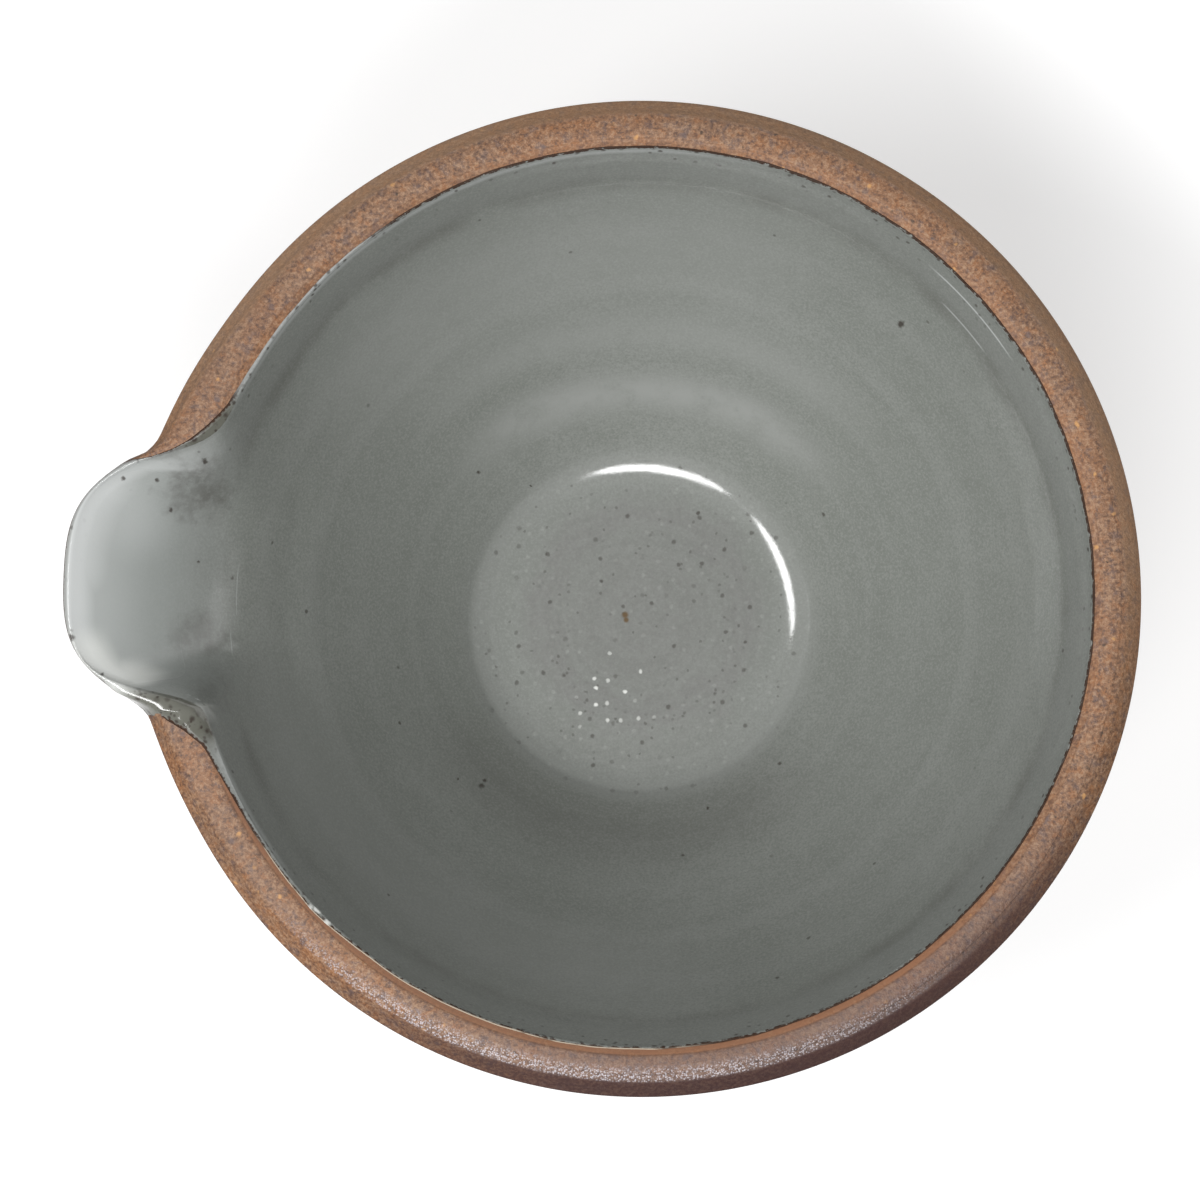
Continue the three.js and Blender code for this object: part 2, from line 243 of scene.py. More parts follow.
def round_corners(points, reaches, steps=5):
    """Replaces each inner corner of a path by a short curve of its own reach."""
    path = [points[0]]
    for before, corner, after, reach in zip(points, points[1:], points[2:], reaches):
        back = before - corner
        ahead = after - corner
        back_reach = min(reach, np.linalg.norm(back[:2]) * 0.45)
        ahead_reach = min(reach, np.linalg.norm(ahead[:2]) * 0.45)
        start = corner + back * (back_reach / np.linalg.norm(back[:2]))
        end = corner + ahead * (ahead_reach / np.linalg.norm(ahead[:2]))
        path.extend(bezier([start, corner, end], np.linspace(0, 1, steps + 1)))
    path.append(points[-1])
    return np.array(path)


def resample(path, step):
    """Splits long stretches of a path into pieces no longer than step."""
    parts = [path[:1]]
    for before, after in zip(path, path[1:]):
        count = max(1, math.ceil(np.linalg.norm((after - before)[:2]) / step))
        shares = np.linspace(0, 1, count + 1)[1:, None]
        parts.append(before + (after - before) * shares)
    return np.vstack(parts)


def lengths_along(path):
    steps = np.linalg.norm(np.diff(path[:, :2], axis=0), axis=1)
    return np.concatenate([[0], np.cumsum(steps)])


def lift(path, amount):
    """Moves a path along its left-hand normal, which points into the bowl on the inside path."""
    tangent = np.gradient(path[:, :2], axis=0)
    tangent /= np.linalg.norm(tangent, axis=1)[:, None]
    lifted = path.copy()
    lifted[:, 0] -= tangent[:, 1] * amount
    lifted[:, 1] += tangent[:, 0] * amount
    return lifted


INSIDE_FLARE = 3.2
OUTSIDE_FLARE = 2.2
LIP_EDGE_WIDTH = 1.8 * MM
LIP_RIDGE_WIDTH = 1.2 * MM
LIP_UNDERCUT = 3.5 * MM
LOWER_SWELL = np.array([42, 28]) * MM
UPPER_SWELL = np.array([61.5, 45]) * MM


def rim_points(sizes):
    """Inner edge, ridge, flat's edge and outer edge of the rim."""
    outer = np.array([RIM_RADIUS, BOWL_HEIGHT - sizes.rim_facet[1]])
    flat = np.array([RIM_RADIUS - sizes.rim_facet[0], BOWL_HEIGHT - sizes.rim_flat[1]])
    ridge = np.array([flat[0] - sizes.rim_flat[0], BOWL_HEIGHT])
    inner = np.array([ridge[0] - sizes.rim_bevel[0], BOWL_HEIGHT - sizes.rim_bevel[1]])
    return inner, ridge, flat, outer


def inside_path(sizes, count):
    """From the well's middle to the rim's inner edge, over the clay."""
    floor_top = FOOT_HEIGHT + sizes.floor_thickness
    flat = sizes.well_flat_radius
    edge = np.array([flat + sizes.well_corner_width, WELL_EDGE_HEIGHT])
    inner = rim_points(sizes)[0]
    floor_line = [[radius, floor_top] for radius in np.linspace(0, flat, max(6, count // 6))]
    corner = bezier(
        [(flat, floor_top), (flat + sizes.well_corner_reach, floor_top), edge],
        np.linspace(0, 1, max(5, count // 8))[1:],
    )
    wall = bezier([edge, LOWER_SWELL, UPPER_SWELL, inner], np.linspace(0, 1, count)[1:])
    points = np.vstack([floor_line, corner, wall])
    edge_pull = TIP_RADIUS - LIP_EDGE_WIDTH - inner[0]
    pull = edge_pull * above_root(points[:, 1], inner[1]) ** INSIDE_FLARE
    return rows(points, pull, sizes, inside=1.0)


RIM_REACHES = (0.6 * MM, 1.8 * MM, 1.2 * MM)


def rim_path(sizes):
    """From the rim's inner edge over the ridge and the crowned flat to the outer edge."""
    inner, ridge, flat, outer = rim_points(sizes)
    crown = np.array([(ridge[0] + flat[0]) / 2, ridge[1]])
    tip = [LIP_EDGE_WIDTH, LIP_RIDGE_WIDTH, LIP_RIDGE_WIDTH / 2, 0, LIP_UNDERCUT]
    points = np.array([inner, ridge, crown, flat, outer])
    pulls = TIP_RADIUS - np.array(tip) - points[:, 0]
    softening = np.array([0, 0.6, 0.75, 0.9, 0.2]) * MM
    return rows(points, pulls, sizes, [1.0, 0.8, 0.4, 0.0, 0.0], softening)


def outside_path(sizes, count):
    """From the rim's outer edge down the outside to the underside's edge."""
    outer = rim_points(sizes)[3]
    wall = sizes.wall_thickness
    points = bezier(
        [
            (sizes.underside_radius, FOOT_HEIGHT),
            LOWER_SWELL + np.array([0.8, -1.5]) * wall,
            UPPER_SWELL + np.array([0.9, 0]) * wall,
            outer,
        ],
        np.linspace(1, 0, count),
    )
    outer_pull = TIP_RADIUS - LIP_UNDERCUT - outer[0]
    pull = outer_pull * above_root(points[:, 1], outer[1]) ** OUTSIDE_FLARE
    return rows(points, pull, sizes)


def foot_path(sizes):
    """From the underside's edge round the foot ring to the middle of the underside."""
    inner = FOOT_RADIUS - sizes.foot_ring_width
    corner = 0.8 * MM
    undercut = 0.5 * MM
    points = [
        (sizes.underside_radius, FOOT_HEIGHT),
        (FOOT_RADIUS - undercut, FOOT_HEIGHT),
        (FOOT_RADIUS, corner),
        (FOOT_RADIUS - corner, 0),
        (inner + corner, 0),
        (inner, corner),
        (inner - undercut, FOOT_HEIGHT),
        (0, FOOT_HEIGHT),
    ]
    return rows(points, 0, sizes)


# The bowl's hand-made form: every row is placed at an angle from the middle of the lip.
# Each side of the lip's outside is a bump, given as a half angle in degrees and a power, which is
# cut back between two angles, and stands on a wider swell with its share and its half angle.
FRONT_OUTSIDE = (13.7, 3.6, (12.6, 16.4), 0.12, 24)
BACK_OUTSIDE = (13.2, 3.5, (12.2, 16.6), 0.17, 26)
OUTSIDE_CUT = 0.78
# The throat turns more sharply, and narrows downwards, quickly at first, so that its edge is round.
FRONT_THROAT = (math.radians(13.5), 6.0)
BACK_THROAT = (math.radians(14.5), 4.2)
THROAT_NARROWING = 0.30
THROAT_ROUNDING = 0.6
RIM_ROLL = 1.0 * MM
RIM_WOBBLE = 0.06 * MM
RIM_DIP = 0.10 * MM


def bump_share(angle, bump, width=1.0):
    half_angle, power = bump
    return np.exp(-((np.abs(angle) / (half_angle * width)) ** power))


def outside_share(angle):
    """How much of the lip's pull the outside follows at an angle."""
    off = np.abs(np.degrees(angle))
    sides = []
    for half_angle, power, cut, swell, swell_angle in (FRONT_OUTSIDE, BACK_OUTSIDE):
        lip = np.exp(-((off / half_angle) ** power)) * (1 - OUTSIDE_CUT * smooth_step(off, *cut))
        sides.append((1 - swell) * lip + swell * np.exp(-((off / swell_angle) ** 4)))
    return np.where(angle > 0, *sides)


def pull_share(angle, height, inside):
    outer = outside_share(angle)
    width = 1 - THROAT_NARROWING * (1 - above_root(height, BOWL_HEIGHT - RIM_ROLL)) ** THROAT_ROUNDING
    front = bump_share(angle, FRONT_THROAT, width)
    back = bump_share(angle, BACK_THROAT, width)
    return outer + (np.where(angle > 0, front, back) - outer) * inside


def place(station, angle):
    """Rows of x, y, z for stations at angles, with the slight unevenness of hand work."""
    radius, height, pull, sink, inside = station.T
    share = pull_share(angle, height, inside)
    top_share = np.clip(height / BOWL_HEIGHT, 0, 1) ** 2
    wobble = RIM_WOBBLE * (1 + 0.6 * np.sin(2 * angle + 0.7) + 0.4 * np.sin(3 * angle + 2.1)) * top_share
    dip = RIM_DIP * (1 + 0.6 * np.sin(2 * angle + 2.4) + 0.4 * np.sin(5 * angle + 0.3)) * top_share
    reach = radius + np.where(radius > 0, pull * share - wobble * (1 - share), 0)
    return np.column_stack([
        AXIS_X - reach * np.cos(angle),
        -reach * np.sin(angle),
        height - sink * share - dip * (1 - share) * (radius > 0.05),
    ])


# How far the glaze reaches out over the rim from its inner edge: degrees from the lip's middle,
# positive towards the front, and millimetres along the rim's section.
GLAZE_REACH = (
    (-180, 0.22), (-138, 0.30), (-88, 0.18), (-58, 0.28), (-38, 0.26), (-28, 0.40), (-22.5, 0.80),
    (-20.6, 1.35), (-17.7, 2.00), (-15.7, 1.90), (-14.6, 1.40), (-13.6, 1.60), (-13.0, 3.50),
    (-12.2, 5.15), (11.6, 5.15), (12.8, 9.2), (16.2, 9.8), (16.5, 5.25), (18.6, 3.50), (21.2, 1.90),
    (25.7, 1.20), (37, 0.55), (47, 0.80), (54, 0.38), (82, 0.38), (112, 0.35), (132, 0.22), (180, 0.22),
)
SHORTEST_REACH = 0.10 * MM


def glaze_reach(angle):
    degrees, reach = np.transpose(GLAZE_REACH)
    return np.interp(np.degrees(angle), degrees, reach) * MM


def lip_cover(angle):
    """1 where the glaze lies over the lip, falling to 0 beside its shoulders."""
    return 1 - smooth_step(np.abs(np.degrees(angle)), 13, 22)


def edge_wave(angle):
    """The glaze edge's small waves beside the lip, from 0 to 1."""
    wave = np.sin(9 * angle + 0.4) + 0.8 * np.sin(17 * angle + 1.9) + 0.6 * np.sin(31 * angle + 0.8)
    wave += 0.5 * np.sin(53 * angle + 2.7) + 0.35 * np.sin(89 * angle)
    return 0.5 + wave / 6.5


# Drawing a section as a curve and spinning it round the bowl's axis.
def deselect_all():
    bpy.ops.object.select_all(action="DESELECT")


def spin_section(name, section, steps):
    """Draws the section as a curve, makes it a mesh and spins it; returns the object."""
    deselect_all()
    bpy.ops.curve.primitive_bezier_curve_add(location=(0, 0, 0))
    drawn = bpy.context.object
    drawn.data.splines.clear()
    spline = drawn.data.splines.new("POLY")
    spline.points.add(len(section) - 1)
    for point, (radius, height) in zip(spline.points, section[:, :2]):
        point.co = (AXIS_X - radius, 0, height, 1)
    bpy.ops.object.convert(target="MESH")
    piece = bpy.context.object
    piece.name = name
    piece.data.name = name
    bpy.ops.object.mode_set(mode="EDIT")
    bpy.ops.mesh.select_all(action="SELECT")
    bpy.ops.mesh.spin(steps=steps, angle=2 * math.pi, center=(AXIS_X, 0, 0), axis=(0, 0, 1))
    bpy.ops.mesh.select_all(action="SELECT")
    bpy.ops.mesh.remove_doubles(threshold=1e-6)
    bpy.ops.mesh.select_all(action="SELECT")
    bpy.ops.mesh.normals_make_consistent(inside=False)
    bpy.ops.object.mode_set(mode="OBJECT")
    return piece


def spun_angles(piece, section):
    """The station index and the angle from the lip's middle of every point of a spun piece."""
    points = np.empty(len(piece.data.vertices) * 3, np.float32)
    piece.data.vertices.foreach_get("co", points)
    points = points.reshape(-1, 3).astype(float)
    across = AXIS_X - points[:, 0]
    angle = np.arctan2(-points[:, 1], across)
    radius = np.hypot(across, points[:, 1])
    station = np.empty(len(points), int)
    for part in np.array_split(np.arange(len(points)), 40):
        gap = (section[:, 0] - radius[part, None]) ** 2 + (section[:, 1] - points[part, 2, None]) ** 2
        station[part] = np.argmin(gap, axis=1)
    return station, angle


def set_points(piece, points):
    piece.data.vertices.foreach_set("co", np.asarray(points, np.float32).ravel())
    piece.data.update()


def add_attribute(piece, name, values):
    layer = piece.data.attributes.new(name, "FLOAT", "POINT")
    layer.data.foreach_set("value", np.asarray(values, np.float32))


def finish_piece(piece, material, slot, *nodes):
    piece.data.materials.clear()
    piece.data.materials.append(material)
    deselect_all()
    piece.select_set(True)
    bpy.context.view_layer.objects.active = piece
    bpy.ops.object.shade_smooth()
    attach(piece, "root")
    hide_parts(*nodes)


# Node helpers.
class Surface:
    """A material's node tree, with short ways to add and join nodes."""

    def __init__(self, name):
        self.material = bpy.data.materials.new(name)
        self.material.use_nodes = True
        self.nodes = self.material.node_tree.nodes
        self.links = self.material.node_tree.links
        self.shader = self.nodes["Principled BSDF"]
        self.place = self.nodes.new("ShaderNodeTexCoord").outputs["Object"]
        self.colour = None

    def feed(self, socket, value):
        if isinstance(value, bpy.types.NodeSocket):
            self.links.new(value, socket)
        elif hasattr(value, "__len__"):
            socket.default_value = (*value, 1.0)
        else:
            socket.default_value = value

    def set(self, name, value):
        """Feeds one of the shader's sockets."""
        self.feed(self.shader.inputs[name], value)

    def paint(self, colour, *shares):
        """Lays a colour over the colour so far, by the product of some shares."""
        self.colour = self.mix(self.both(*shares), self.colour, colour)

    def attribute(self, name):
        node = self.nodes.new("ShaderNodeAttribute")
        node.attribute_name = name
        return node.outputs["Fac"]

    def noise(self, scale, detail=3.0, roughness=0.55, vector=None):
        node = self.nodes.new("ShaderNodeTexNoise")
        node.inputs["Scale"].default_value = scale
        node.inputs["Detail"].default_value = detail
        node.inputs["Roughness"].default_value = roughness
        self.links.new(vector or self.place, node.inputs["Vector"])
        return node.outputs["Fac"]

    def bands(self, distance, scale, detail=2.0):
        """Noise that changes only with a distance."""
        node = self.nodes.new("ShaderNodeTexNoise")
        node.noise_dimensions = "1D"
        node.inputs["Scale"].default_value = scale
        node.inputs["Detail"].default_value = detail
        self.links.new(distance, node.inputs["W"])
        return node.outputs["Fac"]

    def cells(self, scale, vector=None, flat=False):
        """Distance to the nearest cell's middle, in cells, and the cell's random colour."""
        node = self.nodes.new("ShaderNodeTexVoronoi")
        node.voronoi_dimensions = "2D" if flat else "3D"
        node.inputs["Scale"].default_value = scale
        self.links.new(vector or self.place, node.inputs["Vector"])
        return node.outputs["Distance"], node.outputs["Color"]

    def vector_math(self, operation, first, second=None):
        node = self.nodes.new("ShaderNodeVectorMath")
        node.operation = operation
        self.links.new(first, node.inputs[0])
        if operation == "SCALE":
            node.inputs["Scale"].default_value = second
        elif second is not None:
            self.links.new(second, node.inputs[1])
        return node.outputs["Value" if operation == "LENGTH" else "Vector"]

    def ragged(self, scale, amount):
        """Object coordinates shifted by noise, which makes spots irregular."""
        node = self.nodes.new("ShaderNodeTexNoise")
        node.inputs["Scale"].default_value = scale
        node.inputs["Detail"].default_value = 2
        self.links.new(self.place, node.inputs["Vector"])
        shift = self.vector_math("SCALE", node.outputs["Color"], amount)
        return self.vector_math("ADD", self.place, shift)

    def from_axis(self, x=0.0, y=0.0, vector=None):
        """The flat vector from a point, given from the bowl's axis."""
        mapping = self.nodes.new("ShaderNodeMapping")
        mapping.inputs["Location"].default_value = (-AXIS_X - x, -y, 0)
        mapping.inputs["Scale"].default_value = (1, 1, 0)
        self.links.new(vector or self.place, mapping.inputs["Vector"])
        return mapping.outputs["Vector"]

    def distance_from(self, x=0.0, y=0.0, vector=None):
        return self.vector_math("LENGTH", self.from_axis(x, y, vector))

    def spot(self, x, y, size, core, vector=None):
        """1 within a core round a point and 0 beyond a size, all in millimetres."""
        return self.span(self.distance_from(x * MM, y * MM, vector), size * MM, core * MM)

    def along_rim(self, across, stretch):
        """Coordinates that run slower round the bowl than across its section."""
        turned = self.vector_math(
            "SCALE", self.vector_math("NORMALIZE", self.from_axis()), RIM_RADIUS / stretch)
        upright = self.nodes.new("ShaderNodeCombineXYZ")
        self.links.new(across, upright.inputs[2])
        return self.vector_math("ADD", turned, upright.outputs[0])

    def math(self, operation, first, second=0.0):
        node = self.nodes.new("ShaderNodeMath")
        node.operation = operation
        self.feed(node.inputs[0], first)
        self.feed(node.inputs[1], second)
        return node.outputs[0]

    def span(self, value, low, high, start=0.0, end=1.0):
        node = self.nodes.new("ShaderNodeMapRange")
        node.interpolation_type = "SMOOTHSTEP"
        self.feed(node.inputs["Value"], value)
        for name, number in (("From Min", low), ("From Max", high), ("To Min", start), ("To Max", end)):
            node.inputs[name].default_value = number
        return node.outputs["Result"]

    def mix(self, share, first, second):
        node = self.nodes.new("ShaderNodeMix")
        node.data_type = "RGBA"
        self.feed(node.inputs[0], share)
        self.feed(node.inputs[6], first)
        self.feed(node.inputs[7], second)
        return node.outputs[2]

    def red(self, colour):
        node = self.nodes.new("ShaderNodeSeparateColor")
        self.links.new(colour, node.inputs[0])
        return node.outputs[0]

    def specks(self, scale, size, share, vector=None, flat=False):
        """Soft specks of a size in cells, in a share of the cells, some fainter than others."""
        distance, colour = self.cells(scale, vector, flat)
        spot = self.span(distance, size, size * 0.35)
        chosen = self.span(self.red(colour), 1 - share, 1 - share * 0.35)
        return self.math("MULTIPLY", spot, chosen)

    def band(self, value, middle, half_width):
        """1 at a middle value, falling to 0 at a half width to either side."""
        off = self.math("ABSOLUTE", self.math("SUBTRACT", value, middle))
        return self.span(off, half_width, 0)

    def both(self, first, *others):
        """The product of some shares."""
        for other in others:
            first = self.math("MULTIPLY", first, other)
        return first

    def larger(self, first, second):
        return self.math("MAXIMUM", first, second)

    def without(self, share):
        return self.math("SUBTRACT", 1.0, share)

    def towards(self, degrees, low, high):
        """0 beyond low degrees off a direction from the bowl's axis, and 1 within high degrees of it."""
        axes = self.nodes.new("ShaderNodeSeparateXYZ")
        self.links.new(self.place, axes.inputs[0])
        across = self.math("SUBTRACT", axes.outputs[0], AXIS_X)
        turn = self.math("ARCTAN2", axes.outputs[1], across)
        offset = self.math("SUBTRACT", turn, math.radians(degrees))
        nearness = self.math("COSINE", offset)
        return self.span(nearness, math.cos(math.radians(low)), math.cos(math.radians(high)))

    def bump(self, height, distance, strength=1.0):
        node = self.nodes.new("ShaderNodeBump")
        node.inputs["Strength"].default_value = strength
        node.inputs["Distance"].default_value = distance
        self.links.new(height, node.inputs["Height"])
        self.links.new(node.outputs["Normal"], self.shader.inputs["Normal"])


# Zones of the rim's section, as distances outwards from its inner edge.
BEVEL_END = (1.2 * MM, 1.8 * MM)
FACET_START = (4.9 * MM, 6.1 * MM)
GLINTS_START = (2.6 * MM, 4.9 * MM)
GLINTS_END = (5.9 * MM, 5.45 * MM)
ROLL_START = 2.6 * MM
ROLL_WIDTH = 2.9 * MM


class ClaySurface(Surface):
    """Fired clay, with the zones and noises that its parts share."""

    def __init__(self, colours):
        super().__init__("fired_clay")
        self.colour = colours.clay
        self.outward = self.attribute("rim_distance")
        self.coarse = self.span(self.outward, *BEVEL_END)
        self.on_facet = self.span(self.outward, *FACET_START)
        self.blotch = self.noise(560, 4, 0.65)
        self.streak = self.noise(950, 3, 0.6, self.along_rim(self.outward, 6))
        self.grain = self.noise(1700, 4, 0.75)


def mottle_clay(clay, colours):
    """Warm clouds, slate blotches, throwing streaks and grog grains."""
    cloud = clay.noise(60, 3, 0.6)
    clay.paint(colours.clay_orange, clay.span(cloud, 0.38, 0.68, 0.0, 0.45))
    clay.paint(colours.clay_orange, clay.span(clay.blotch, 0.48, 0.38, 0.0, 0.60))
    clay.paint(colours.clay_slate, clay.span(clay.blotch, 0.53, 0.64, 0.0, 0.65))
    clay.paint(colours.clay_dark, clay.span(clay.streak, 0.52, 0.78, 0.0, 0.30))
    clay.paint(colours.pale_clay_and_painted_light, clay.span(clay.streak, 0.48, 0.26, 0.0, 0.30))
    clay.paint(colours.pale_clay_and_painted_light, clay.span(clay.grain, 0.51, 0.62, 0.0, 0.62))
    clay.paint(colours.clay_dark, clay.span(clay.grain, 0.49, 0.38, 0.0, 0.68))


def spot_clay(clay, colours):
    """Slate and iron spots, fewer on the smooth bevel, and small orange-cream spots."""
    shifted = clay.ragged(700, 1.2 * MM)
    roughly = clay.span(clay.coarse, 0, 1, 0.35, 1.0)
    clay.paint(colours.clay_slate, clay.specks(380, 0.26, 0.42, shifted), roughly, 0.75)
    clay.paint(colours.iron_and_painted_shade, clay.specks(620, 0.22, 0.30, shifted), roughly, 0.75)
    clay.paint(colours.clay_spot, clay.specks(310, 0.15, 0.55, shifted), 0.8)


def colour_rim_with_painted_light(clay, colours):
    """The rim's orange bevel and dark front, with painted light on the back facet and painted glints on the
    front.
    """
    bevel_front = clay.span(clay.towards(-100, 80, 40), 0, 1, 0.15, 0.92)
    evenly = clay.span(clay.blotch, 0.36, 0.62, 0.62, 1.0)
    clay.paint(colours.bevel, clay.without(clay.coarse), bevel_front, evenly)
    # The flat is darker at the front, and most at the front right.
    clay.paint(colours.clay_slate, clay.coarse, clay.towards(-72, 50, 16), 0.50)
    clay.paint(colours.facet, clay.coarse, clay.towards(-64, 44, 12), 0.10)
    # Painted light makes the facet and the outside below it paler at the back; they are dark at the front.
    clay.paint(colours.pale_clay_and_painted_light, clay.on_facet, clay.towards(80, 100, 62), 0.5)
    facet_cover = clay.span(clay.grain, 0.40, 0.60, 1.0, 0.78)
    clay.paint(colours.facet, clay.on_facet, clay.towards(-77, 56, 6), facet_cover)
    # The outer flat is darker at the front right.
    dark_outer_flat = clay.span(clay.outward, 2.4 * MM, 4.4 * MM)
    clay.paint(colours.facet, dark_outer_flat, clay.towards(-50, 30, 8), 0.36)
    clay.paint(colours.clay_dark, clay.coarse, clay.towards(-178, 62, 30), 0.12)
    # At the front the flat's outer half gets painted glints, as pale specks.
    outer_flat = clay.both(clay.span(clay.outward, *GLINTS_START), clay.span(clay.outward, *GLINTS_END))
    clay.paint(colours.painted_glints, clay.specks(3600, 0.68, 0.96), outer_flat, clay.towards(-93, 48, 14), 0.78)
    beside_glaze = clay.span(clay.attribute("lip_share"), 0.25, 0.6)
    clay.paint(colours.edge_brown, clay.band(clay.outward, 4.6 * MM, 1.8 * MM), beside_glaze)


def finish_clay(clay):
    """Roughness, shine and relief, glassier where the flat rolls over at the front."""
    sheen = clay.both(clay.band(clay.outward, 4.7 * MM, 2.0 * MM), clay.towards(-80, 52, 22))
    worn = clay.span(clay.grain, 0.3, 0.7, 0.42, 0.58)
    worn = clay.math("SUBTRACT", worn, clay.math("MULTIPLY", sheen, 0.24))
    dull_facet = clay.both(clay.on_facet, clay.without(sheen), 0.85)
    dullness = clay.span(clay.on_facet, 0, 1, 0.35, 0.08)
    clay.set("Roughness", clay.larger(worn, dull_facet))
    clay.set("Specular IOR Level", clay.larger(dullness, clay.span(sheen, 0, 1, 0.0, 0.65)))
    pits = clay.noise(3600, 2, 0.6)
    relief = clay.math("ADD", clay.math("MULTIPLY", clay.grain, 0.7), clay.math("MULTIPLY", pits, 0.35))
    relief = clay.math("ADD", relief, clay.math("MULTIPLY", clay.streak, 0.35))
    relief = clay.both(relief, clay.span(clay.coarse, 0, 1, 0.25, 1.0))
    glassy_grains = clay.both(clay.specks(1400, 0.55, 0.8), sheen, 0.7)
    rolled = clay.math("MINIMUM", clay.math("SUBTRACT", clay.outward, ROLL_START), ROLL_WIDTH)
    rolled = clay.math("DIVIDE", clay.larger(rolled, 0.0), ROLL_WIDTH)
    roll = clay.both(rolled, rolled, clay.towards(-80, 56, 24), 2.9)
    clay.bump(clay.math("SUBTRACT", clay.math("ADD", relief, glassy_grains), roll), 0.20 * MM)


def fired_clay(colours):
    """Iron-bearing stoneware: smooth on the inner bevel, coarse and grainy on the flat and outside."""
    clay = ClaySurface(colours)
    mottle_clay(clay, colours)
    spot_clay(clay, colours)
    colour_rim_with_painted_light(clay, colours)
    finish_clay(clay)
    clay.set("Base Color", clay.colour)
    return clay.material


# Single iron spots: millimetres right and back from the bowl's axis, and a radius.
IRON_SPOTS = (
    (-84.9, -9.3, 0.80),
    (-80.8, 15.4, 0.55),
    (-78.1, 14.9, 0.50),
    (-73.2, 15.0, 0.45),
    (-66.1, 18.1, 0.55),
    (-71.1, 10.9, 0.40),
    (-79.9, -14.6, 0.45),
    (-86.2, 7.0, 0.45),
    (-66.9, 3.6, 0.28),
    (38.3, 44.7, 0.70),
    (-26.0, 22.1, 0.38),
    (-17.8, 20.9, 0.30),
    (-27.2, -26.3, 0.32),
    (-23.5, -27.2, 0.55),
    (-23.1, -26.3, 0.36),
    (12.0, -29.1, 0.38),
)
# The rust spot in the well's middle, from two dots placed as above.
RUST_DOTS = ((-2.4, 0.9, 0.75), (-2.2, 0.1, 0.60))
# Soft iron stains with painted shade in the throat's corners: a place as above, a radius and a strength.
THROAT_STAINS_AND_SHADE = (
    (-67.0, 14.0, 6.5, 0.46),
    (-63.8, -18.5, 5.0, 0.22),
    (-66.6, -7.5, 5.8, 0.32),
    (-69.8, 12.0, 4.5, 0.20),
)
# Thin painted highlight lines: a direction in degrees, a radius in millimetres, a half angle and a
# strength.
PAINTED_HIGHLIGHT_LINES = (
    (180.5, 61.6, 4.0, 0.30),
    (188.0, 62.6, 1.8, 0.30),
    (43.0, 66.0, 9.0, 0.75),
    (42.5, 63.9, 5.0, 0.55),
)
# The well's looks sit a little nearer the front than its shape.
WELL_SHIFT = -0.9 * MM


class GlazeSurface(Surface):
    """Glaze, with the zones and noises that its parts share."""

    def __init__(self, colours):
        super().__init__("grey_glaze")
        self.colour = colours.glaze
        self.edge = self.attribute("edge_distance")
        self.lip = self.attribute("lip_share")
        self.shoulder = self.attribute("shoulder")
        self.beside_lip = self.without(self.lip)
        self.off_shoulder = self.without(self.shoulder)
        self.on_tip = self.both(self.lip, self.off_shoulder)
        self.pale_border = self.towards(142, 18, 8)
        self.cloud = self.noise(30, 3, 0.6)
        self.mottle = self.noise(230, 4, 0.65)
        self.soft = self.noise(850, 3, 0.6)
        self.fine = self.noise(2600, 3, 0.65)
        self.uneven = self.math("MULTIPLY", self.math("SUBTRACT", self.mottle, 0.5), 12 * MM)
        self.radius = self.distance_from()
        self.wavy_radius = self.math("ADD", self.radius, self.math("MULTIPLY", self.cloud, 3 * MM))
        self.well_radius = self.distance_from(0.0, WELL_SHIFT)
        self.in_well = self.span(self.well_radius, 28.6 * MM, 24.6 * MM)
        self.shifted = self.ragged(900, 0.5 * MM)


def cloud_glaze(glaze, colours):
    """Soft clouding, faint rings and a fine grain all over."""
    rings = glaze.bands(glaze.wavy_radius, 260, 3)
    glaze.paint(colours.glaze_pale_and_painted_light, glaze.span(glaze.cloud, 0.38, 0.7, 0.0, 0.30))
    glaze.paint(colours.glaze_deep, glaze.span(glaze.mottle, 0.42, 0.7, 0.0, 0.35))
    glaze.paint(colours.glaze_deep, glaze.span(glaze.soft, 0.45, 0.70, 0.0, 0.25))
    glaze.paint(colours.glaze_pale_and_painted_light, glaze.span(rings, 0.45, 0.68, 0.0, 0.15))
    glaze.paint(colours.glaze_pale_and_painted_light, glaze.span(glaze.fine, 0.51, 0.63, 0.0, 0.40))
    glaze.paint(colours.glaze_deep, glaze.span(glaze.fine, 0.49, 0.37, 0.0, 0.50))


def paint_wall_light_and_shade(glaze, colours):
    """Painted reflections as pale bands low on the back wall, painted light as paler stretches higher up,
    and painted shade low at the front.
    """
    across = glaze.wavy_radius
    # Painted reflections: pale bands low on the back wall.
    upper_reflection = glaze.math("MULTIPLY", glaze.band(across, 46 * MM, 4.5 * MM), 0.5)
    low_reflections = glaze.math("ADD", glaze.band(across, 37.5 * MM, 4.5 * MM), upper_reflection)
    cloudy = glaze.span(glaze.mottle, 0.3, 0.6, 0.5, 1.0)
    glaze.paint(colours.glaze_pale_and_painted_light, low_reflections, glaze.towards(90, 60, 20), cloudy)
    # Painted light: paler stretches high on the back and front walls.
    back = glaze.both(glaze.band(across, 57 * MM, 13 * MM), glaze.towards(108, 52, 25), 0.40)
    front = glaze.both(glaze.band(across, 58 * MM, 11 * MM), glaze.towards(-125, 52, 25), 0.42)
    glaze.paint(colours.glaze_pale_and_painted_light, glaze.math("ADD", back, front))
    # Painted shade low on the wall at the front, in the iron colour.
    glaze.paint(colours.iron_and_painted_shade, glaze.band(across, 35 * MM, 10 * MM), glaze.towards(-95, 65, 30), 0.22)


